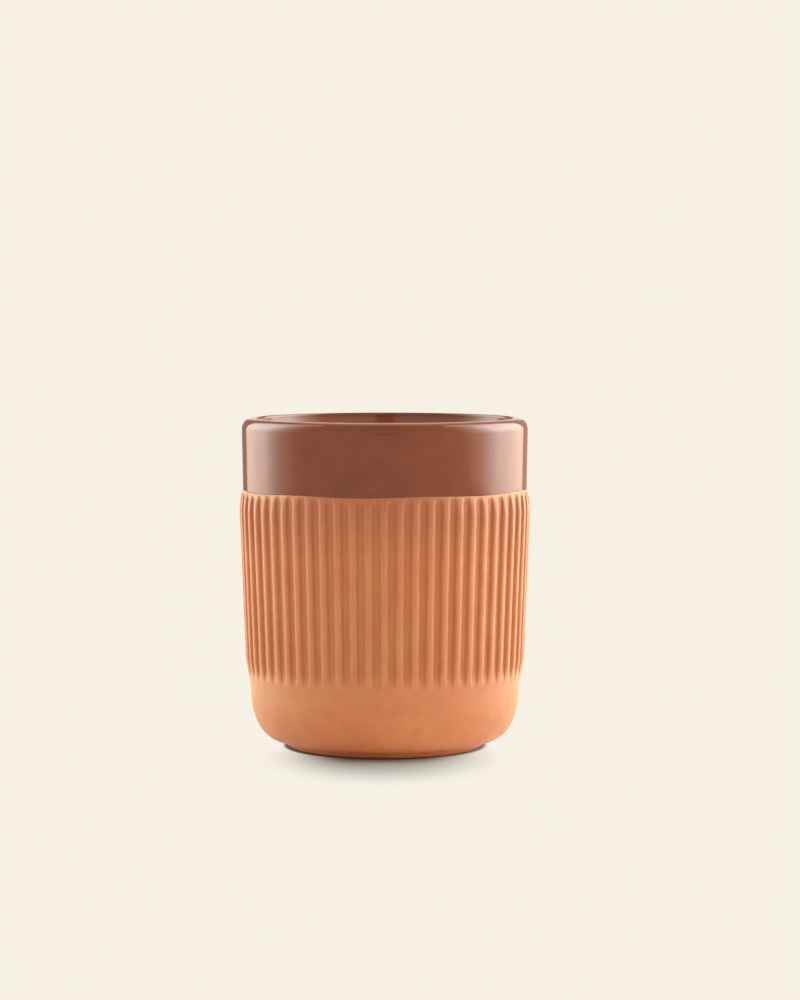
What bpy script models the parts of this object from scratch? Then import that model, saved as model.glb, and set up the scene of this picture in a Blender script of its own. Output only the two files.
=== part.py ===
"""Stoneware cup without a handle: a fluted red-clay body under a brown glaze.

The body is one piece of clay: wall, ribs, floor and foot ring. Two glaze coats lie
on it, a liner poured inside and a band dipped over the lip down to the shoulder.
Metres, +Z up. The origin is on the ground, on the axis of the cup.
"""
import math

import bmesh
import bpy

# Outer form. A taper is metres of radius for each metre of height.
CUP_HEIGHT = 0.0904           # ground to the top of the lip
CREST_RADIUS = 0.0400         # widest circle over the rib crests, under the shoulder
WALL_TAPER = 0.0390           # of the ribs, the plain wall and the inside
BAND_HEIGHT = 0.0194          # glazed band outside, lip top to glaze line
BAND_TAPER = 0.0180           # of the band's outside
SHOULDER_STEP = 0.0010        # how far the crests stand out from the foot of the band
SHOULDER_DROP = 0.0062        # height over which the shoulder rounds out to the crests
SHOULDER_SQUARENESS = 1.7     # 2 is an ellipse, more is boxier
BELLY_TOP = 0.0175            # where the wall begins to turn in to the foot
BELLY_SQUARENESS = 2.64

# Ribs and the grooves between them
RIB_COUNT = 59
RIB_HEIGHT = 0.0010           # crest over groove floor
RIB_FADE = 0.0068             # length over which the ribs sink into the wall
GROOVE_MOUTH = 0.0029         # groove width between two crests
GROOVE_FLOOR = 0.0020         # groove width at its floor
GROOVE_TIP = 0.5              # least share of those widths, at a groove's ends
GROOVE_HEAD = 0.0014          # glaze line down to a groove's upper end
GROOVE_FOOT = 0.0028          # belly up to a groove's lower end
GROOVE_RUN = 0.0022           # length in which a groove comes up to its end

# Wall, lip, floor and foot
WALL_THICKNESS = 0.0049       # groove floor to the glazed inside
LIP_DROP = 0.0031             # height of the lip's rounding outside
LIP_EDGE_DROP = 0.0012        # height of its rounding inside
LIP_CREST_SHARE = 0.80        # lip top, as a share of the wall from its outside
LIP_SQUARENESS = 2.4
FLOOR_THICKNESS = 0.0050      # recess to the glazed inside
FLOOR_FILLET = 0.0090
FOOT_RADIUS = 0.0271
FOOT_WIDTH = 0.0034           # sole of the foot ring
FOOT_HEIGHT = 0.0017          # ground to the underside of the belly
RECESS_HEIGHT = 0.0017        # ground to the clay inside the foot ring

# Glaze coats
GLAZE_THICKNESS = 0.0004
GLAZE_CLEARANCE = 0.0002      # glaze to clay, and coat to coat
DIP_DEPTH = 0.0080            # how far inside the lip the dipped coat ends

# Fineness of the mesh
PLAIN_SIDES = 80
LIP_STEPS = 4
SHOULDER_STEPS = 4
FADE_STEPS = 3
BELLY_STEPS = 6
FILLET_STEPS = 4
SHARP_EDGE = math.radians(40.0)

# Heights that follow from the sizes above
LIP_SPRING = CUP_HEIGHT - LIP_DROP
EDGE_SPRING = CUP_HEIGHT - LIP_EDGE_DROP
SEAM_Z = CUP_HEIGHT - BAND_HEIGHT
GROOVE_TOP = SEAM_Z - GROOVE_HEAD
GROOVE_END = BELLY_TOP + GROOVE_FOOT
CREST_Z = SEAM_Z - SHOULDER_DROP
FADE_Z = BELLY_TOP + RIB_FADE
FLOOR_Z = RECESS_HEIGHT + FLOOR_THICKNESS
DIP_Z = CUP_HEIGHT - DIP_DEPTH
CLAY_DEPTH = GLAZE_THICKNESS + GLAZE_CLEARANCE


def quarter_curve(squareness, steps):
    """Points (across, along) of a quarter superellipse, from (1, 0) to (0, 1)."""
    power = 2.0 / squareness
    points = []
    for step in range(steps + 1):
        angle = 0.5 * math.pi * step / steps
        points.append((math.cos(angle) ** power, math.sin(angle) ** power))
    return points


def wall_radius(z):
    """Groove floors, and the plain wall that carries on below them."""
    return CREST_RADIUS - RIB_HEIGHT - WALL_TAPER * (CREST_Z - z)


def band_radius(z):
    """Glazed outside of the band above the shoulder."""
    return CREST_RADIUS - SHOULDER_STEP + BAND_TAPER * (z - SEAM_Z)


def inner_radius(z):
    """Glazed inside of the wall."""
    return wall_radius(z) - WALL_THICKNESS


def lip_points(depth):
    """Lip from the band over its top to the inside, at a depth below the glazed surface."""
    outside = band_radius(LIP_SPRING)
    inside = inner_radius(EDGE_SPRING)
    crest = outside - LIP_CREST_SHARE * (outside - inside)
    rise = LIP_DROP - depth
    edge_rise = LIP_EDGE_DROP - depth
    arc = quarter_curve(LIP_SQUARENESS, LIP_STEPS)
    outer = [(crest + (outside - crest - depth) * u, LIP_SPRING + rise * w) for u, w in arc]
    arc = quarter_curve(2.0, LIP_STEPS)
    inner = [(crest - (crest - inside - depth) * u, EDGE_SPRING + edge_rise * w) for u, w in arc]
    return outer + inner[-2::-1]


def floor_points(depth):
    """Inside from the foot of the wall round the fillet to the middle of the floor."""
    spring = FLOOR_Z + FLOOR_FILLET
    centre = inner_radius(spring) - FLOOR_FILLET
    radius = FLOOR_FILLET + depth
    arc = quarter_curve(2.0, FILLET_STEPS)
    return [(centre + radius * u, spring - radius * w) for u, w in arc] + [(0.0, FLOOR_Z - depth)]


def around(radius, angle, z):
    """Point at an angle from the -Y axis, counted towards +X."""
    return (radius * math.sin(angle), -radius * math.cos(angle), z)


def plain_ring(radius, z):
    """Round ring of points, or the one point on the axis."""
    if radius == 0.0:
        return [(0.0, 0.0, z)]
    return [around(radius, 2.0 * math.pi * side / PLAIN_SIDES, z) for side in range(PLAIN_SIDES)]


def crest_radius(z):
    """Outline over the crests: the rounded shoulder, the crest line and its sinking to the wall."""
    if z < CREST_Z:
        return wall_radius(z) + RIB_HEIGHT * min(1.0, (z - BELLY_TOP) / RIB_FADE)
    top = band_radius(SEAM_Z)
    share = (z - CREST_Z) / SHOULDER_DROP
    across = max(0.0, 1.0 - share ** SHOULDER_SQUARENESS) ** (1.0 / SHOULDER_SQUARENESS)
    return top + (CREST_RADIUS - top) * across


def groove_depth(z):
    """Depth down to the wall, coming up along a quarter circle at a groove's two ends."""
    to_end = min(GROOVE_TOP - z, z - GROOVE_END)
    rise = 1.0 - min(1.0, max(0.0, to_end / GROOVE_RUN))
    return min(max(0.0, crest_radius(z) - wall_radius(z)), RIB_HEIGHT * math.sqrt(1.0 - rise * rise))


def fluted_ring(z):
    """Ring with four points to each rib: its two crest edges and two groove-floor edges."""
    crest = crest_radius(z)
    depth = groove_depth(z)
    opening = max(GROOVE_TIP, math.sqrt(depth / RIB_HEIGHT))
    pitch = 2.0 * math.pi / RIB_COUNT
    mouth = 0.5 * opening * GROOVE_MOUTH / CREST_RADIUS
    bottom = 0.5 * opening * GROOVE_FLOOR / CREST_RADIUS
    outline = (
        (mouth - 0.5 * pitch, crest),
        (0.5 * pitch - mouth, crest),
        (0.5 * pitch - bottom, crest - depth),
        (0.5 * pitch + bottom, crest - depth),
    )
    points = []
    for rib in range(RIB_COUNT):
        for offset, radius in outline:
            points.append(around(radius, rib * pitch + offset, z))
    return points


def spread(start, end, steps):
    """Even heights from start to end, both counted in."""
    return [start + (end - start) * step / steps for step in range(steps + 1)]


def shoulder_points():
    """Plain part of the shoulder, between the glaze line and the grooves."""
    return [(crest_radius(z), z) for z in spread(SEAM_Z, GROOVE_TOP, 2)[:-1]]


def rib_rings():
    """Rings of the fluted zone, from the shoulder down to where the grooves end."""
    heights = spread(GROOVE_TOP, CREST_Z, SHOULDER_STEPS) + spread(FADE_Z, GROOVE_END, FADE_STEPS)
    return [fluted_ring(z) for z in heights]


def belly_points():
    """Plain wall from under the ribs, turning in to the foot along a boxy quarter curve."""
    points = []
    for across, along in quarter_curve(BELLY_SQUARENESS, BELLY_STEPS):
        z = BELLY_TOP - (BELLY_TOP - FOOT_HEIGHT) * along
        points.append((FOOT_RADIUS + (wall_radius(z) - FOOT_RADIUS) * across, z))
    return points


def foot_points():
    """Foot ring and the recess inside it, ending on the axis."""
    inside = FOOT_RADIUS - FOOT_WIDTH
    return [(FOOT_RADIUS, 0.0), (inside, 0.0), (inside, RECESS_HEIGHT), (0.0, RECESS_HEIGHT)]


def join_rings(mesh, first, second):
    """Zips two rings of any counts together, stepping along the one that lags."""
    if len(first) == 1:
        first, second = second, first
    count, other = len(first), len(second)
    if other == 1:
        for i in range(count):
            mesh.faces.new((first[i], first[(i + 1) % count], second[0]))
        return
    i = j = 0
    while i < count or j < other:
        a, b = first[i % count], second[j % other]
        if j == other or (i < count and (i + 1) * other <= (j + 1) * count):
            i += 1
            mesh.faces.new((a, first[i % count], b))
        else:
            j += 1
            mesh.faces.new((a, second[j % other], b))


def turned_solid(name, rings, material, parent, looped=False):
    """Solid skinned over rings. A looped one goes round on itself and misses the axis."""
    mesh = bmesh.new()
    loops = [[mesh.verts.new(point) for point in ring] for ring in rings]
    followers = loops[1:] + loops[:1] if looped else loops[1:]
    for first, second in zip(loops, followers):
        join_rings(mesh, first, second)
    bmesh.ops.recalc_face_normals(mesh, faces=mesh.faces)
    data = bpy.data.meshes.new(name)
    mesh.to_mesh(data)
    mesh.free()
    data.shade_smooth()
    data.set_sharp_from_angle(angle=SHARP_EDGE)
    data.materials.append(material)
    solid = bpy.data.objects.new(name, data)
    solid.parent = parent
    bpy.context.scene.collection.objects.link(solid)
    return solid


def ceramic(name, colour, roughness):
    """Fired surface of one linear colour."""
    material = bpy.data.materials.new(name)
    material.use_nodes = True
    shader = material.node_tree.nodes["Principled BSDF"]
    shader.inputs["Base Color"].default_value = (*colour, 1.0)
    shader.inputs["Roughness"].default_value = roughness
    shader.inputs["Metallic"].default_value = 0.0
    return material


def clay_body(parent):
    """Clay under the glaze from floor to shoulder, then ribs, belly and foot in the open."""
    inside = floor_points(CLAY_DEPTH)[::-1] + lip_points(CLAY_DEPTH)[::-1]
    seam = [(band_radius(SEAM_Z) - CLAY_DEPTH, SEAM_Z)] + shoulder_points()
    rings = [plain_ring(*point) for point in inside + seam]
    rings += rib_rings()
    rings += [plain_ring(*point) for point in belly_points() + foot_points()]
    return turned_solid("clay_body", rings, ceramic("bare_red_clay", (0.55, 0.19, 0.08), 0.85), parent)


def glaze_shell(upper, lower):
    """Rings round a thin coat: back along its face, then forth along its underside."""
    return [plain_ring(*point) for point in upper[::-1] + lower]


def liner_glaze(parent, material):
    """Coat poured inside, from just under the dipped coat to the middle of the floor."""
    edge = DIP_Z - GLAZE_CLEARANCE

    def face(depth):
        return [(inner_radius(edge) + depth, edge)] + floor_points(depth)

    return turned_solid("liner_glaze", glaze_shell(face(0.0), face(GLAZE_THICKNESS)), material, parent)


def band_glaze(parent, material):
    """Coat dipped over the lip, from the shoulder up and a little way down inside."""
    edge = SEAM_Z + GLAZE_CLEARANCE

    def face(depth):
        foot = (band_radius(edge) - depth, edge)
        return [foot] + lip_points(depth) + [(inner_radius(DIP_Z) + depth, DIP_Z)]

    rings = glaze_shell(face(0.0), face(GLAZE_THICKNESS))
    return turned_solid("band_glaze", rings, material, parent, looped=True)


def clear_scene():
    for old in list(bpy.data.objects):
        bpy.data.objects.remove(old, do_unlink=True)


def build_cup():
    cup = bpy.data.objects.new("cup", None)
    bpy.context.scene.collection.objects.link(cup)
    clay_body(cup)
    liner_glaze(cup, ceramic("liner_brown_glaze", (0.20, 0.066, 0.036), 0.15))
    band_glaze(cup, ceramic("band_brown_glaze", (0.20, 0.066, 0.036), 0.15))


clear_scene()
build_cup()
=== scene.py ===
import math

import bpy
import numpy as np
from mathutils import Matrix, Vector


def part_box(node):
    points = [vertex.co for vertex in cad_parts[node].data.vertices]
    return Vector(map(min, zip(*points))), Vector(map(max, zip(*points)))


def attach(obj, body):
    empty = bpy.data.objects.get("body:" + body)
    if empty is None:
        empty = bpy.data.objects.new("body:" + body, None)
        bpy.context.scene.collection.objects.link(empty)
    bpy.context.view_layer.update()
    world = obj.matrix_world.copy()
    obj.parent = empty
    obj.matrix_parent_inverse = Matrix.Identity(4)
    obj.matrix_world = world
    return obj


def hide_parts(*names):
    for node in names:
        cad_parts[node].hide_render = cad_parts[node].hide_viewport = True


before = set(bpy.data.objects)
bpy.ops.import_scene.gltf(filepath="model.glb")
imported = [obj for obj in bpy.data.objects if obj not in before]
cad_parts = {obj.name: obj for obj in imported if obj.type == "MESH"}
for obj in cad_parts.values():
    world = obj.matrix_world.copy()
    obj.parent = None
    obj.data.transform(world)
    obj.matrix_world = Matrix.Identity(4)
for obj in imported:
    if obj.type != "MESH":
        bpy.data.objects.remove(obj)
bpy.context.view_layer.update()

MM = 0.001

# Sizes of the cup in metres, from the frame where its boxes give them. A taper is
# metres of radius for each metre of height.
GLAZE_CLEARANCE = 0.2 * MM
GLAZE_THICKNESS = 0.4 * MM
CUP_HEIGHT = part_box("band_glaze")[1][2]
SEAM_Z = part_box("band_glaze")[0][2] - GLAZE_CLEARANCE
FLOOR_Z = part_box("liner_glaze")[0][2] + GLAZE_THICKNESS
DIP_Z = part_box("liner_glaze")[1][2] + GLAZE_CLEARANCE
CREST_RADIUS = 40.0 * MM
WALL_TAPER = 0.0390
BAND_TAPER = 0.0180
SHOULDER_STEP = 1.0 * MM
SHOULDER_DROP = 6.2 * MM
SHOULDER_SQUARENESS = 1.7
BELLY_TOP = 17.5 * MM
BELLY_SQUARENESS = 2.64
WALL_THICKNESS = 4.9 * MM
LIP_TILTS = (-1.03, 41.0, 68.0, 90.0)          # degrees, where each of the lip's arcs starts and ends
LIP_RADII = (3.4 * MM, 1.5 * MM, 5.8 * MM)     # side, corner and crown of the lip
LIP_EDGE_DROP = 0.7 * MM                       # height of its tight inner edge
LIP_FLARE = 0.2 * MM
FLOOR_FILLET = 9.0 * MM
FOOT_RADIUS = 27.1 * MM
FOOT_WIDTH = 3.4 * MM
FOOT_HEIGHT = 1.7 * MM
RECESS_Z = 1.7 * MM

# Ribs
RIB_COUNT = 59
RIB_HEIGHT = 1.0 * MM
RIB_FADE = 6.8 * MM
RIB_HALF_WIDTH = 0.270       # of a rib's foot, as a share of the pitch
RIB_SQUARENESS = 2.6
RIB_STATIONS = (0.0, 0.107, 0.172, 0.219, 0.251, 0.271, 0.37, 0.5)     # points across half a pitch
GROOVE_HEAD = -0.3 * MM      # from the seam down to a groove's upper end, which runs out under the glaze
GROOVE_FOOT = 1.3 * MM       # from the belly up to its lower end
GROOVE_RUNS = (3.6 * MM, 5.4 * MM)     # length in which a groove comes up to each of these
GROOVE_POINT = 0.9 * MM      # how much sooner it ends at a crest than in its middle
GROOVE_BEND = 0.35 * MM      # how far its floor turns in under the shoulder

# Small roundings that only the finished surfaces have
RIB_EDGE = 0.12 * MM         # where grooves meet the shoulder and the fading crests
FADE_EASE = 0.20 * MM        # where the fading crests meet the belly
FADE_DROP = 12.0             # how many times faster the crests' line drops away below the belly's top
FADE_ROWS = 1.5 * MM         # how far above the fading crests the rows of points still lie close
FOOT_EDGE = 0.8 * MM
FOOT_CREASE = 0.35 * MM
RECESS_FILLET = 0.8 * MM
GLAZE_EDGE = 0.06 * MM       # rounded lower edge of the dipped coat
SHARP_EDGE = math.radians(50.0)        # a coat's edges that turn more than this stay sharp
DIP_STRAY = (-0.13 * MM, 0.10 * MM, 0.15 * MM)     # of the dip line: its mean, its tilt and its waver
DIP_WAVES = 7
DIP_TURN = math.radians(252.0)
DIP_SPREAD = 4.0 * MM        # height over which the dip line's waver dies out

LIP_SPRING = CUP_HEIGHT - float(np.sum(LIP_RADII * np.diff(np.sin(np.radians(LIP_TILTS)))))
EDGE_SPRING = CUP_HEIGHT - LIP_EDGE_DROP
CREST_Z = SEAM_Z - SHOULDER_DROP
FADE_Z = BELLY_TOP + RIB_FADE
CLAY_DEPTH = GLAZE_THICKNESS + 0.05 * MM           # of the clay that the glaze hides
GLAZE_COLUMNS = 288

# Camera, measured from the photograph's frame of 800 by 1000 pixels
IMAGE_HEIGHT = 1000.0
FOCAL_PIXELS = 3003.0
CUP_AXIS_OFFSET = 15.15      # pixels that the cup's axis lies left of the middle
CAMERA_DISTANCE = 825.3 * MM
CAMERA_HEIGHT = 123.9 * MM
CAMERA_TILT = 3.896          # degrees down
CAMERA_AZIMUTH = 0.30        # degrees round the cup, which turns the ribs as the photograph has them
SENSOR = 36.0                # millimetres, along the image's long side

# Clay skin
SHADED_BELOW_GLAZE = 17.0 * MM          # height below the glaze line over which the clay is painted darker, as painted shade on the shoulder
BLOOM_Z = 3.0 * MM           # height from which the dry bloom grows, up to the belly's top
PORE_EDGE = (0.036, 0.022)   # where a pore starts and where it is whole, as shares of their spacing

# Floor and room
CREAM = "#F7F1E5"
FLOOR_REACH = 6.0
FLOOR_GAP = 0.25 * MM        # under the foot ring, which never touches all round
SHADE_AHEAD = 24.0 * MM      # from the cup's axis to the middle of its shade, towards the camera
SHADE_SQUEEZE = (0.96, 0.66)           # of the shade's outline, across and along
SHADE_FADE = (9.0 * MM, 33.0 * MM)     # from the shade's middle to where it starts and ends to fade
CONTACT_FADE = 1.6 * MM      # from the foot ring to the end of the shade beside it
DIM_RANGE = (0.25, 0.85)     # sines of the heights between which the room looks dimmer
DIM_LEVEL = 0.7              # and how bright it looks above them
FILL_RANGE = (0.05, 0.6)     # sines of the heights between which its light grows
LOW_FILL = 0.38              # from this near the horizon
HIGH_FILL = 0.90             # to this higher up

# Lamps: a plane at an azimuth in degrees from the camera, and its ends along that plane
LAMP_AZIMUTH = 115.0
LAMP_DISTANCE = 0.60
LAMP_BACK = 0.353
LEFT_FRONT = -0.68
RIGHT_FRONT = -0.90
TALL_LAMP = 1.3
LOW_LAMP = 0.52
GLOSS_FADES = (0.0, 0.10, 0.42, 1.0, 0.72, 0.32)     # from a lamp's front end to its back
LEFT_FADES = (0.05, 0.25, 0.60, 1.0, 0.65, 0.30)
RIGHT_FADES = (0.15, 0.45, 0.80, 1.0, 0.55, 0.20)
LOW_HEIGHTS = (0.10, 0.65, 1.0, 0.90, 0.75)          # from its foot to its top
TALL_HEIGHTS = (0.53, 1.0, 0.95, 0.55, 0.40, 0.40)
GREY_WARMTH = (1.0, 1.15, 1.35)        # powers of a fade in red, green and blue
BACK_LAMP_LEVEL = 3.0
BACK_LAMP_HEIGHT = 0.95
BACK_LAMP_RISE = 68.0        # degrees above the floor, from behind the cup
BACK_LAMP_SIZE = 0.5

# Cards that the gloss mirrors
FLAG_DISTANCE = 0.7
FLAG_HEIGHTS = (MM, 1.4)
FRONT_CARD_HALF = 0.12
FRONT_CARD_AHEAD = 0.8
FRONT_CARD_HEIGHTS = (0.115, 0.24)


# Shapes

def quarter_curve(squareness, count):
    """A quarter superellipse from (1, 0) to (0, 1): cosine and sine of an even angle,
    each raised to two over the squareness."""
    angle = np.linspace(0.0, 0.5 * np.pi, count)
    power = 2.0 / squareness
    return np.clip(np.cos(angle), 0.0, 1.0) ** power, np.sin(angle) ** power


def soft_min(a, b, width):
    """The lesser of two arrays, rounded off where they lie within the width of each other."""
    near = np.clip(0.5 + 0.5 * (b - a) / width, 0.0, 1.0)
    return b + (a - b) * near - width * near * (1.0 - near)


def soft_max(a, b, width):
    """The greater of two arrays, rounded off in the same way."""
    return -soft_min(-a, -b, width)


def rounded_corner(corner, arrive, leave, radius, count=5):
    """Arc in a right-angled corner: the corner, less the radius along the way in, turning
    by sine and cosine to the radius along the way out."""
    turn = np.linspace(0.0, 0.5 * np.pi, count)[:, None]
    way_in = np.array(arrive, float) * radius
    way_out = np.array(leave, float) * radius
    return np.array(corner) - way_in * (1.0 - np.sin(turn)) + way_out * (1.0 - np.cos(turn))


def wall_radius(z):
    """The wall's cone, on which the ribs stand: narrower towards the foot by its taper."""
    return CREST_RADIUS - RIB_HEIGHT - WALL_TAPER * (CREST_Z - z)


def band_radius(z):
    """The glazed band's cone: wider towards the lip by its taper."""
    return CREST_RADIUS - SHOULDER_STEP + BAND_TAPER * (z - SEAM_Z)


def inner_radius(z):
    """The wall's cone less its thickness, flared by a parabola from the dip line to the lip."""
    flare = np.clip((z - DIP_Z) / (EDGE_SPRING - DIP_Z), 0.0, 1.0)
    return wall_radius(z) - WALL_THICKNESS + LIP_FLARE * flare ** 2


def lip_path(depth, count):
    """Three tangent arcs from the band's outside round a corner to the low crown, then a tight
    quarter curve to the inside. Each arc is drawn in by the depth below the glazed face."""
    tilts = np.radians(LIP_TILTS)
    centre = np.array([band_radius(LIP_SPRING), LIP_SPRING])
    last = 0.0
    arcs = []
    for radius, start, end in zip(LIP_RADII, tilts, tilts[1:]):
        centre = centre + (last - radius) * np.array([np.cos(start), np.sin(start)])
        turn = np.linspace(start, end, count)[:, None]
        arcs.append((centre + (radius - depth) * np.hstack([np.cos(turn), np.sin(turn)]))[:-1])
        last = radius
    crest, inside = centre[0], inner_radius(EDGE_SPRING)
    across, along = quarter_curve(2.0, count)
    edge = np.column_stack([crest - (crest - inside - depth) * across,
                            EDGE_SPRING + (LIP_EDGE_DROP - depth) * along])
    return np.vstack(arcs + [edge[::-1]])


def floor_path(depth, count, runs=6):
    """A quarter circle from the foot of the inner wall, then straight to the axis."""
    spring = FLOOR_Z + FLOOR_FILLET
    centre = inner_radius(spring) - FLOOR_FILLET
    across, along = quarter_curve(2.0, count)
    arc = np.column_stack([centre + (FLOOR_FILLET + depth) * across,
                           spring - (FLOOR_FILLET + depth) * along])
    shares = np.linspace(1.0, 0.0, runs + 1)[1:]
    flat = np.column_stack([arc[-1, 0] * shares, np.full(runs, FLOOR_Z - depth)])
    return np.vstack([arc, flat])


def foot_path():
    """Recess, foot ring and crease under the belly, as straight runs with rounded corners."""
    inside = FOOT_RADIUS - FOOT_WIDTH
    out, down, up = (1, 0), (0, -1), (0, 1)
    recess = np.column_stack([np.linspace(0.0, inside - 2.0 * RECESS_FILLET, 4), np.full(4, RECESS_Z)])
    return np.vstack([
        recess,
        rounded_corner((inside, RECESS_Z), out, down, RECESS_FILLET),
        rounded_corner((inside, 0.0), down, out, FOOT_EDGE),
        rounded_corner((FOOT_RADIUS, 0.0), out, up, FOOT_EDGE),
        rounded_corner((FOOT_RADIUS, FOOT_HEIGHT), up, out, FOOT_CREASE, 4),
    ])


def belly_path(count):
    """The wall's cone drawn in to the foot by a boxy quarter curve."""
    across, along = quarter_curve(BELLY_SQUARENESS, count)
    z = BELLY_TOP - (BELLY_TOP - FOOT_HEIGHT) * along
    radius = FOOT_RADIUS + (wall_radius(z) - FOOT_RADIUS) * across
    return np.column_stack([radius, z])[::-1]


def crest_envelope(base, z):
    """Outline over the crests: the wall or belly, the line on which the ribs rise out of it,
    and the crest line itself, each eased into the next."""
    share = (z - BELLY_TOP) / RIB_FADE
    rising = wall_radius(z) + RIB_HEIGHT * np.minimum(share, FADE_DROP * share)
    return soft_min(soft_max(base, rising, FADE_EASE), wall_radius(z) + RIB_HEIGHT, RIB_EDGE)


def rib_section(share):
    """Height of a rib, 1 at its crest and 0 on the groove floor, at a share of the pitch from
    the crest: a superellipse as wide as the rib's foot."""
    inside = np.clip(np.abs(share) / RIB_HALF_WIDTH, 0.0, 1.0)
    return (1.0 - inside ** RIB_SQUARENESS) ** (1.0 / RIB_SQUARENESS)


def groove_depth(outline, share):
    """Depth of the grooves under an outline of radius and height, at shares of the pitch from a
    crest: down to the wall, which turns in by a parabola under the shoulder, and coming up along a
    gentle cubic towards either end, soonest beside the crests."""
    radius, z = outline[:, :1], outline[:, 1:]
    setback = GROOVE_POINT * (1.0 - 2.0 * np.abs(share))
    rise = np.minimum((SEAM_Z - GROOVE_HEAD - z - setback) / GROOVE_RUNS[0],
                      (z - BELLY_TOP - GROOVE_FOOT - setback) / GROOVE_RUNS[1])
    rise = np.clip(rise, 0.0, 1.0)
    floor = wall_radius(z) - GROOVE_BEND * np.clip((z - CREST_Z) / SHOULDER_DROP, 0.0, 1.0) ** 2
    return np.minimum(np.maximum(radius - floor, 0.0), RIB_HEIGHT * rise ** 2 * (3.0 - 2.0 * rise))


def dip_shift(angle, z):
    """How far the hand-dipped glaze line strays from level, near its height: a sine once round
    and a cosine seven times round, dying out above and below as a bell curve."""
    mean, tilt, waver = DIP_STRAY
    stray = mean + tilt * np.sin(angle) + waver * np.cos(DIP_WAVES * angle + DIP_TURN)
    return stray * np.exp(-((z - SEAM_Z) / DIP_SPREAD) ** 2)


def turned_mesh(name, points, first_pole=False, last_pole=False, looped=False):
    """Mesh over a grid of rows by columns that closes round its columns. A pole row shrinks
    to its first point, and a looped grid joins its last row to its first."""
    rows, columns = points.shape[:2]
    index = np.arange(rows * columns).reshape(rows, columns)
    if first_pole:
        index[0] = index[0, 0]
    if last_pole:
        index[-1] = index[-1, 0]
    upper = np.roll(index, -1, axis=0) if looped else index[1:]
    lower = index if looped else index[:-1]
    quads = np.stack([lower, np.roll(lower, -1, 1), np.roll(upper, -1, 1), upper], axis=-1).reshape(-1, 4)
    corners, places = np.unique(quads, return_inverse=True)
    quads = places.reshape(-1, 4)
    start_pole = quads[:, 0] == quads[:, 1]
    end_pole = quads[:, 2] == quads[:, 3]
    triangles = np.vstack([quads[start_pole][:, 1:], quads[end_pole][:, :3]])
    quads = quads[~(start_pole | end_pole)]
    mesh = bpy.data.meshes.new(name)
    mesh.vertices.add(len(corners))
    mesh.vertices.foreach_set("co", points.reshape(-1, 3)[corners].ravel())
    mesh.loops.add(quads.size + triangles.size)
    mesh.loops.foreach_set("vertex_index", np.concatenate([quads.ravel(), triangles.ravel()]))
    mesh.polygons.add(len(quads) + len(triangles))
    starts = np.concatenate([np.arange(len(quads)) * 4, quads.size + np.arange(len(triangles)) * 3])
    mesh.polygons.foreach_set("loop_start", starts)
    mesh.update(calc_edges=True)
    mesh.shade_smooth()
    return mesh, corners


def place(mesh, material, node):
    """Puts a finished mesh in the scene in place of a CAD node."""
    mesh.materials.append(material)
    piece = bpy.data.objects.new(mesh.name, mesh)
    bpy.context.scene.collection.objects.link(piece)
    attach(piece, "root")
    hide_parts(node)


def fluted_clay(material):
    """The clay body as radius against angle and height: the crest envelope, less the depth of the
    grooves times what the rib's section leaves open. That depth reaches down to the wall, and
    comes up gently, as a cubic in the height, to a groove's ends."""
    belly = belly_path(30)[1:]
    rise = np.linspace(BELLY_TOP, FADE_Z + FADE_ROWS, 20)[1:]
    shaft = np.linspace(rise[-1], CREST_Z, 8)[1:]
    across, along = quarter_curve(SHOULDER_SQUARENESS, 22)
    top = band_radius(SEAM_Z)
    shoulder = np.column_stack([top + (CREST_RADIUS - top) * across, CREST_Z + SHOULDER_DROP * along])[1:]
    cone_z = np.concatenate([rise, shaft])
    outline = np.vstack([
        np.column_stack([crest_envelope(belly[:, 0], belly[:, 1]), belly[:, 1]]),
        np.column_stack([crest_envelope(wall_radius(cone_z), cone_z), cone_z]),
        shoulder,
    ])
    hidden = np.vstack([
        [(top - CLAY_DEPTH, SEAM_Z)],
        lip_path(CLAY_DEPTH, 3),
        floor_path(CLAY_DEPTH, 4, 1),
    ])
    path = np.vstack([foot_path(), outline, hidden])
    half = np.array(RIB_STATIONS)
    share = np.concatenate([-half[-2:0:-1], half])
    angle = (2.0 * np.pi / RIB_COUNT * (np.arange(RIB_COUNT)[:, None] + share)).ravel()
    first = len(foot_path())
    fluted = slice(first, first + len(outline))
    radius = np.repeat(path[:, :1], len(angle), axis=1)
    cut = np.tile(groove_depth(outline, share) * (1.0 - rib_section(share)), RIB_COUNT)
    radius[fluted] -= cut
    z = path[:, 1:] + dip_shift(angle, path[:, 1:])
    points = np.stack([radius * np.sin(angle), -radius * np.cos(angle), z], axis=-1)
    mesh, kept = turned_mesh("fluted_clay", points, first_pole=True, last_pole=True)
    relief = np.ones(radius.shape)
    relief[fluted] -= cut / RIB_HEIGHT
    height = mesh.attributes.new("rib_height", "FLOAT", "POINT")
    height.data.foreach_set("value", relief.ravel()[kept])
    place(mesh, material, "clay_body")


def coat_points(path):
    """A profile of radius and height turned once round the axis, following the dip line."""
    angle = np.linspace(0.0, 2.0 * np.pi, GLAZE_COLUMNS, endpoint=False)
    radius, z = path[:, :1], path[:, 1:]
    return np.stack([radius * np.sin(angle), -radius * np.cos(angle), z + dip_shift(angle, z)], axis=-1)


def mark_inside(mesh, points, kept):
    """Gives a coat's points 1 on the inner wall and floor and 0 outside and over the lip, turning over
    in the first millimetre below the lip's inner edge."""
    within = np.hypot(points[..., 0], points[..., 1]) < inner_radius(CUP_HEIGHT) + GLAZE_THICKNESS
    share = within * np.clip((EDGE_SPRING - points[..., 2]) / MM, 0.0, 1.0)
    inside = mesh.attributes.new("inside", "FLOAT", "POINT")
    inside.data.foreach_set("value", share.ravel()[kept])


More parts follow.
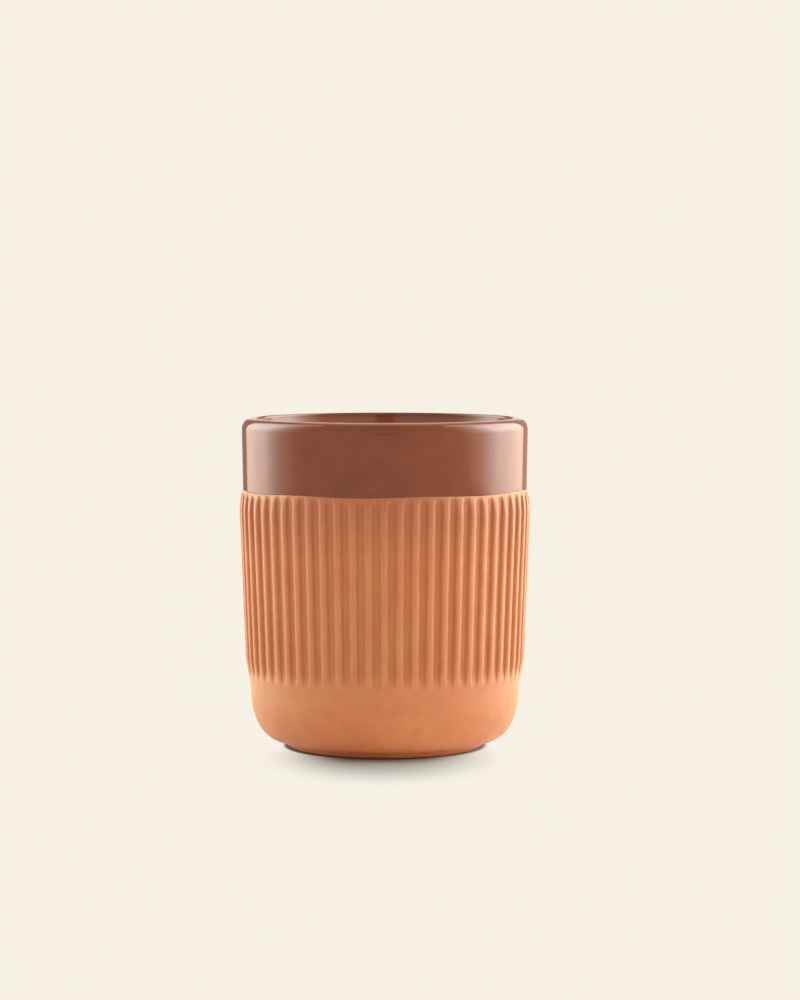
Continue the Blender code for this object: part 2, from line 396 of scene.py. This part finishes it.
def dipped_band(material):
    """The outer coat: up the band, over the lip and down to the dip line, and back along
    its underside, with a rounded lower edge."""
    foot = band_radius(SEAM_Z)
    outside = np.linspace(SEAM_Z + 2.0 * GLAZE_EDGE, LIP_SPRING, 6)[:-1]
    inside = np.linspace(EDGE_SPRING, DIP_Z, 10)[1:]
    path = np.vstack([
        [(foot - GLAZE_THICKNESS, SEAM_Z)],
        rounded_corner((foot, SEAM_Z), (1, 0), (0, 1), GLAZE_EDGE, 6),
        np.column_stack([band_radius(outside), outside]),
        lip_path(0.0, 12),
        np.column_stack([inner_radius(inside), inside]),
        [(inner_radius(DIP_Z) + GLAZE_THICKNESS, DIP_Z)],
        lip_path(GLAZE_THICKNESS, 4)[::-1],
    ])
    points = coat_points(path)
    mesh, kept = turned_mesh("dipped_band", points, looped=True)
    mark_inside(mesh, points, kept)
    mesh.set_sharp_from_angle(angle=SHARP_EDGE)
    place(mesh, material, "band_glaze")


def poured_liner(material):
    """The inner coat: from the middle of the floor up to the dip line, and back underneath."""
    wall = np.linspace(DIP_Z, FLOOR_Z + FLOOR_FILLET, 12)[:-1]

    def face(depth, count):
        """One face of the coat: down the wall and in over the floor, at a depth below the glaze."""
        side = np.column_stack([inner_radius(wall) + depth, wall])
        return np.vstack([side, floor_path(depth, count)])

    path = np.vstack([face(GLAZE_THICKNESS, 8)[::-1], face(0.0, 16)])
    points = coat_points(path)
    mesh, kept = turned_mesh("poured_liner", points, first_pole=True, last_pole=True)
    mark_inside(mesh, points, kept)
    mesh.set_sharp_from_angle(angle=SHARP_EDGE)
    place(mesh, material, "liner_glaze")


# Materials

def linear(code):
    """sRGB hex colour as linear RGBA."""
    parts = [int(code[i:i + 2], 16) / 255.0 for i in (1, 3, 5)]
    return (*[p / 12.92 if p <= 0.04045 else ((p + 0.055) / 1.055) ** 2.4 for p in parts], 1.0)


def add(tree, kind, inputs=None, **settings):
    """Adds one node with its settings, and its inputs as values or links from other sockets."""
    made = tree.nodes.new(kind)
    for name, value in settings.items():
        setattr(made, name, value)
    for name, value in (inputs or {}).items():
        if isinstance(value, bpy.types.NodeSocket):
            tree.links.new(value, made.inputs[name])
        else:
            made.inputs[name].default_value = value
    return made


def new_material(name):
    """A material, its nodes and its shader."""
    material = bpy.data.materials.new(name)
    material.use_nodes = True
    tree = material.node_tree
    return material, tree, tree.nodes["Principled BSDF"]


def layered(tree, code, layers):
    """Colours laid over a first one. Each layer is a value, where it starts to show and where it shows
    most, the most of it that shows, and its colour."""
    tone = linear(code)
    for value, low, high, most, colour in layers:
        share = add(tree, "ShaderNodeMapRange", {"Value": value, "From Min": low, "From Max": high,
                                                 "To Max": most})
        tone = add(tree, "ShaderNodeMix", {0: share.outputs["Result"], 6: tone, 7: linear(colour)},
                   data_type="RGBA").outputs[2]
    return tone


def seen_or_mirrored(tree):
    """Two switches. The first is 1 for what the camera sees, straight or in gloss or glass, and 0 for
    the light on matt surfaces. The second is 1 only for what it sees straight."""
    path = add(tree, "ShaderNodeLightPath")
    seen = path.outputs["Is Camera Ray"]
    for also in ("Is Glossy Ray", "Is Transmission Ray"):
        seen = add(tree, "ShaderNodeMath", {0: seen, 1: path.outputs[also]}, operation="MAXIMUM").outputs[0]
    return seen, path.outputs["Is Camera Ray"]


def bare_red_stoneware():
    """Unglazed red stoneware, cast and fired: a dry matt skin in cloudy orange and rose tones, faint
    streaks along the ribs, fine grit, a few dark pores and pale specks, and painted shade: a deeper red
    down in the grooves, and darker and browner towards the glaze line. A dry paleness shows where the eye
    grazes it, and thins out towards the foot."""
    material, tree, skin = new_material("bare_red_stoneware")
    where = add(tree, "ShaderNodeTexCoord").outputs["Object"]
    drawn = add(tree, "ShaderNodeMapping", {"Vector": where, "Scale": (1.0, 1.0, 0.06)}).outputs[0]
    cloud = add(tree, "ShaderNodeTexNoise", {"Vector": where, "Scale": 1.0 / (12.0 * MM), "Detail": 4.0})
    patch = add(tree, "ShaderNodeTexNoise", {"Vector": where, "Scale": 1.0 / (4.0 * MM), "Detail": 3.0})
    streak = add(tree, "ShaderNodeTexNoise", {"Vector": drawn, "Scale": 1.0 / (0.7 * MM), "Detail": 2.0})
    grit = add(tree, "ShaderNodeTexNoise", {"Vector": where, "Scale": 1.0 / (0.5 * MM), "Detail": 4.0})
    pore = add(tree, "ShaderNodeTexVoronoi", {"Vector": where, "Scale": 1.0 / (6.0 * MM)})
    speck = add(tree, "ShaderNodeTexVoronoi", {"Vector": where, "Scale": 1.0 / (2.4 * MM)})
    height = add(tree, "ShaderNodeSeparateXYZ", {0: where}).outputs["Z"]
    ribbed = add(tree, "ShaderNodeMapRange", {"Value": height, "From Min": BELLY_TOP,
                                              "From Max": FADE_Z})
    combed = add(tree, "ShaderNodeMath", {0: streak.outputs["Fac"], 1: ribbed.outputs["Result"]},
                 operation="MULTIPLY").outputs[0]
    crest = add(tree, "ShaderNodeAttribute", attribute_name="rib_height").outputs["Fac"]

    tone = layered(tree, "#CD764E", (
        (cloud.outputs["Fac"], 0.42, 0.66, 0.6, "#D58957"),
        (patch.outputs["Fac"], 0.45, 0.70, 0.6, "#CB6D4A"),
        (combed, 0.46, 0.72, 0.45, "#B8643C"),
        # painted shade: the grooves a deeper, darker red where the ribs shade them
        (crest, 1.0, 0.0, 0.40, "#C05F38"),
        # painted shade: the shoulder and upper ribs darker and browner towards the glaze line
        (height, SEAM_Z - SHADED_BELOW_GLAZE, SEAM_Z, 0.95, "#AE583B"),
        (grit.outputs["Fac"], 0.55, 0.80, 0.35, "#A95A36"),
        (speck.outputs["Distance"], 0.080, 0.030, 0.35, "#E9BB96"),
        (pore.outputs["Distance"], *PORE_EDGE, 0.8, "#5A2B18")))
    tree.links.new(tone, skin.inputs["Base Color"])

    rough = add(tree, "ShaderNodeMapRange", {"Value": patch.outputs["Fac"], "From Min": 0.35,
                                             "From Max": 0.65, "To Min": 0.42, "To Max": 0.54})
    tree.links.new(rough.outputs["Result"], skin.inputs["Roughness"])
    skin.inputs["Specular IOR Level"].default_value = 1.0
    skin.inputs["Specular Tint"].default_value = linear("#FFF8D0")
    bloom = add(tree, "ShaderNodeMapRange", {"Value": height, "From Min": BLOOM_Z,
                                             "From Max": BELLY_TOP, "To Min": 0.1, "To Max": 0.9})
    tree.links.new(bloom.outputs["Result"], skin.inputs["Sheen Weight"])
    skin.inputs["Sheen Roughness"].default_value = 0.5
    skin.inputs["Sheen Tint"].default_value = linear("#FFF0D0")

    pit = add(tree, "ShaderNodeMapRange", {"Value": pore.outputs["Distance"], "From Min": PORE_EDGE[1],
                                           "From Max": PORE_EDGE[0]})
    grain = add(tree, "ShaderNodeMath", {0: grit.outputs["Fac"], 1: pit.outputs["Result"]},
                operation="ADD")
    relief = add(tree, "ShaderNodeMath", {0: combed, 1: 2.0, 2: grain.outputs[0]},
                 operation="MULTIPLY_ADD")
    bump = add(tree, "ShaderNodeBump", {"Height": relief.outputs[0], "Strength": 0.25,
                                        "Distance": 0.06 * MM})
    tree.links.new(bump.outputs["Normal"], skin.inputs["Normal"])
    return material


def brown_gloss_glaze():
    """Reddish-brown iron glaze, melted to a smooth gloss that ripples very slightly: cloudy brown with
    fine pale specks and pinholes, and a lighter tone inside the cup that is painted light."""
    material, tree, skin = new_material("brown_gloss_glaze")
    where = add(tree, "ShaderNodeTexCoord").outputs["Object"]
    cloud = add(tree, "ShaderNodeTexNoise", {"Vector": where, "Scale": 1.0 / (8.0 * MM), "Detail": 4.0})
    fleck = add(tree, "ShaderNodeTexNoise", {"Vector": where, "Scale": 1.0 / (0.6 * MM), "Detail": 3.0})
    ripple = add(tree, "ShaderNodeTexNoise", {"Vector": where, "Scale": 1.0 / (3.0 * MM), "Detail": 1.0})
    speck = add(tree, "ShaderNodeTexVoronoi", {"Vector": where, "Scale": 1.0 / (2.0 * MM)})
    pinhole = add(tree, "ShaderNodeTexVoronoi", {"Vector": where, "Scale": 1.0 / (4.5 * MM)})
    inside = add(tree, "ShaderNodeAttribute", attribute_name="inside").outputs["Fac"]

    tone = layered(tree, "#803C1F", (
        (cloud.outputs["Fac"], 0.40, 0.70, 0.8, "#733418"),
        # painted light: the inner wall and floor lighter, standing in for light that reaches inside the cup
        (inside, 0.0, 1.0, 1.0, "#A25834"),
        (fleck.outputs["Fac"], 0.50, 0.75, 0.22, "#94502E"),
        (speck.outputs["Distance"], 0.080, 0.050, 0.42, "#C08A66"),
        (pinhole.outputs["Distance"], 0.040, 0.026, 0.8, "#3A170B")))
    tree.links.new(tone, skin.inputs["Base Color"])
    rough = add(tree, "ShaderNodeMapRange", {"Value": cloud.outputs["Fac"], "From Min": 0.35,
                                             "From Max": 0.65, "To Min": 0.07, "To Max": 0.11})
    tree.links.new(rough.outputs["Result"], skin.inputs["Roughness"])
    skin.inputs["IOR"].default_value = 1.5
    bump = add(tree, "ShaderNodeBump", {"Height": ripple.outputs["Fac"], "Strength": 0.2,
                                        "Distance": 0.015 * MM})
    tree.links.new(bump.outputs["Normal"], skin.inputs["Normal"])
    return material


# Studio

def pale_floor():
    """A cream floor: lit in front of the cup and close round its foot, so that it takes the shadow, and
    fading to the plain background colour further out, so that no horizon shows."""
    corners = np.array([(-1, -1, 0), (1, -1, 0), (1, 1, 0), (-1, 1, 0)]) * FLOOR_REACH - (0, 0, FLOOR_GAP)
    mesh = bpy.data.meshes.new("pale_floor")
    mesh.from_pydata(corners.tolist(), [], [(0, 1, 2, 3)])
    floor = bpy.data.objects.new("pale_floor", mesh)
    bpy.context.scene.collection.objects.link(floor)
    material, tree, _ = new_material("cream_paper")
    tree.nodes.clear()
    where = add(tree, "ShaderNodeTexCoord").outputs["Object"]
    across, along = SHADE_SQUEEZE
    shifted = add(tree, "ShaderNodeMapping", {"Vector": where, "Location": (0.0, along * SHADE_AHEAD, 0.0),
                                              "Scale": (across, along, 1.0)}).outputs[0]
    plain = []
    for point, start, end in ((shifted, *SHADE_FADE), (where, FOOT_RADIUS, FOOT_RADIUS + CONTACT_FADE)):
        away = add(tree, "ShaderNodeVectorMath", {0: point}, operation="LENGTH").outputs["Value"]
        fade = add(tree, "ShaderNodeMapRange", {"Value": away, "From Min": start, "From Max": end},
                   interpolation_type="SMOOTHSTEP")
        plain.append(fade.outputs["Result"])
    least = add(tree, "ShaderNodeMath", {0: plain[0], 1: plain[1]}, operation="MINIMUM")
    seen, camera_ray = seen_or_mirrored(tree)
    share = add(tree, "ShaderNodeMath", {0: seen, 1: least.outputs[0]}, operation="MULTIPLY")
    tone = add(tree, "ShaderNodeMix", {0: camera_ray, 6: linear("#F2EADC"), 7: linear("#B2B9BA")},
               data_type="RGBA")
    paper = add(tree, "ShaderNodeBsdfDiffuse", {"Color": tone.outputs[2]})
    glow = add(tree, "ShaderNodeEmission", {"Color": linear(CREAM), "Strength": 1.0})
    mix = add(tree, "ShaderNodeMixShader", {0: share.outputs[0], 1: paper.outputs[0], 2: glow.outputs[0]})
    add(tree, "ShaderNodeOutputMaterial", {"Surface": mix.outputs[0]})
    mesh.materials.append(material)


def studio_world():
    """The pale room: cream all round and dimmer overhead as it is seen, while the light that it
    gives comes from above rather than from near the horizon."""
    world = bpy.data.worlds.new("studio")
    bpy.context.scene.world = world
    world.use_nodes = True
    tree = world.node_tree
    room = tree.nodes["Background"]
    room.inputs["Color"].default_value = linear(CREAM)
    towards = add(tree, "ShaderNodeTexCoord").outputs["Generated"]
    height = add(tree, "ShaderNodeSeparateXYZ", {0: towards}).outputs["Z"]
    level = add(tree, "ShaderNodeMapRange", {"Value": height, "From Min": DIM_RANGE[0],
                                             "From Max": DIM_RANGE[1], "To Min": 1.0, "To Max": DIM_LEVEL},
                interpolation_type="SMOOTHSTEP")
    light = add(tree, "ShaderNodeMapRange", {"Value": height, "From Min": FILL_RANGE[0],
                                             "From Max": FILL_RANGE[1], "To Min": LOW_FILL,
                                             "To Max": HIGH_FILL})
    seen, _ = seen_or_mirrored(tree)
    both = add(tree, "ShaderNodeMix", {0: seen, 2: light.outputs["Result"], 3: level.outputs["Result"]})
    tree.links.new(both.outputs[0], room.inputs["Strength"])


def soft_lamp(name, side, front, top, level, fades, heights, colour, mirrored):
    """Soft lamp standing on the floor beside the cup, on the left for side -1 and the right for side 1,
    from its front end along its plane to the back. Fades and heights are how much of its level is left
    at even steps from front to back and from foot to top, a little warmer where it is less. A mirrored
    lamp lights the gloss alone, and any other lights the matt surfaces alone."""
    data = bpy.data.lights.new(name, "AREA")
    data.shape = "RECTANGLE"
    data.size, data.size_y = LAMP_BACK - front, top
    data.energy = level * math.pi * data.size * data.size_y
    data.color = linear(colour)[:3]
    data.use_nodes = True
    tree = data.node_tree
    geometry = add(tree, "ShaderNodeNewGeometry")
    place_on = add(tree, "ShaderNodeSeparateXYZ", {0: geometry.outputs["Parametric"]})
    share = place_on.outputs["X"]
    if side < 0:
        share = add(tree, "ShaderNodeMath", {0: 1.0, 1: share}, operation="SUBTRACT").outputs[0]
    ramps = []
    for along, greys in ((share, fades), (place_on.outputs["Y"], heights)):
        ramp = add(tree, "ShaderNodeValToRGB", {"Fac": along})
        stops = ramp.color_ramp.elements
        for position in np.linspace(0.0, 1.0, len(greys))[1:-1]:
            stops.new(position)
        for stop, grey in zip(stops, greys):
            stop.color = (*[grey ** power for power in GREY_WARMTH], 1.0)
        ramps.append(ramp.outputs["Color"])
    both = add(tree, "ShaderNodeVectorMath", {0: ramps[0], 1: ramps[1]}, operation="MULTIPLY")
    tree.links.new(both.outputs[0], tree.nodes["Emission"].inputs["Color"])
    lamp = bpy.data.objects.new(name, data)
    turn = side * math.radians(LAMP_AZIMUTH)
    towards = np.array([math.sin(turn), -math.cos(turn)])
    backwards = np.array([math.cos(turn), math.sin(turn)]) * side
    middle = towards * LAMP_DISTANCE + backwards * 0.5 * (front + LAMP_BACK)
    lamp.location = (*middle, 0.5 * top)
    lamp.rotation_euler = (math.radians(90.0), 0.0, turn)
    lamp.visible_camera = False
    lamp.visible_diffuse = not mirrored
    lamp.visible_glossy = mirrored
    bpy.context.scene.collection.objects.link(lamp)


def back_lamp():
    """Broad soft lamp over the cup and behind it. It lays the soft shadow on the floor toward the
    camera, and isn't mirrored in the gloss."""
    data = bpy.data.lights.new("back_lamp", "AREA")
    data.shape = "SQUARE"
    data.size = BACK_LAMP_SIZE
    data.energy = BACK_LAMP_LEVEL * math.pi * BACK_LAMP_SIZE ** 2
    lamp = bpy.data.objects.new("back_lamp", data)
    rise = math.radians(BACK_LAMP_RISE)
    lamp.location = (0.0, BACK_LAMP_HEIGHT / math.tan(rise), BACK_LAMP_HEIGHT)
    lamp.rotation_euler = (rise - 0.5 * math.pi, 0.0, 0.0)
    lamp.visible_camera = False
    lamp.visible_glossy = False
    bpy.context.scene.collection.objects.link(lamp)


def dark_card(name, start, end, heights, colour):
    """An upright card between two places on the floor and two heights, which only reflections see: it
    draws the dark line along the edge of the gloss."""
    low, high = heights
    mesh = bpy.data.meshes.new(name)
    mesh.from_pydata([(*start, low), (*end, low), (*end, high), (*start, high)], [], [(0, 1, 2, 3)])
    material, tree, _ = new_material(name)
    tree.nodes.clear()
    glow = add(tree, "ShaderNodeEmission", {"Color": linear(colour), "Strength": 1.0})
    add(tree, "ShaderNodeOutputMaterial", {"Surface": glow.outputs[0]})
    mesh.materials.append(material)
    card = bpy.data.objects.new(name, mesh)
    bpy.context.scene.collection.objects.link(card)
    card.visible_camera = False
    card.visible_diffuse = False
    card.visible_shadow = False


def flag(name, start, end, colour):
    """A tall dark card standing between two azimuths, in degrees from the camera."""
    turn = np.radians([start, end])
    feet = FLAG_DISTANCE * np.column_stack([np.sin(turn), -np.cos(turn)])
    dark_card(name, *feet.tolist(), FLAG_HEIGHTS, colour)


def photo_camera():
    """Camera in the photograph's place, turned so that the cup's axis lies left of the middle."""
    data = bpy.data.cameras.new("photo_camera")
    data.sensor_width = SENSOR
    data.lens = FOCAL_PIXELS / IMAGE_HEIGHT * SENSOR
    camera = bpy.data.objects.new("photo_camera", data)
    azimuth = math.radians(CAMERA_AZIMUTH)
    camera.location = (CAMERA_DISTANCE * math.sin(azimuth), -CAMERA_DISTANCE * math.cos(azimuth),
                       CAMERA_HEIGHT)
    turn = azimuth - math.atan(CUP_AXIS_OFFSET / FOCAL_PIXELS)
    camera.rotation_euler = (math.radians(90.0 - CAMERA_TILT), 0.0, turn)
    bpy.context.scene.collection.objects.link(camera)
    bpy.context.scene.camera = camera


photo_camera()
clay = bare_red_stoneware()
glaze = brown_gloss_glaze()
fluted_clay(clay)
dipped_band(glaze)
poured_liner(glaze)
pale_floor()
studio_world()
soft_lamp("left_gloss", -1, LEFT_FRONT, TALL_LAMP, 6.1, GLOSS_FADES, TALL_HEIGHTS, "#FFFFFF", True)
soft_lamp("right_gloss", 1, RIGHT_FRONT, TALL_LAMP, 8.6, GLOSS_FADES, TALL_HEIGHTS, "#FFFFFF", True)
soft_lamp("left_lamp", -1, LEFT_FRONT, LOW_LAMP, 6.2, LEFT_FADES, LOW_HEIGHTS, "#FFFAF2", False)
soft_lamp("right_lamp", 1, RIGHT_FRONT, LOW_LAMP, 11.5, RIGHT_FADES, LOW_HEIGHTS, "#F4FFFA", False)
back_lamp()
flag("left_flag", -146.0, -171.0, "#9A968C")
flag("right_flag", 147.0, 171.0, "#B8B2A6")
dark_card("camera_side", (-FRONT_CARD_HALF, -FRONT_CARD_AHEAD), (FRONT_CARD_HALF, -FRONT_CARD_AHEAD),
          FRONT_CARD_HEIGHTS, "#6A655B")
bpy.context.scene.view_settings.view_transform = "Standard"
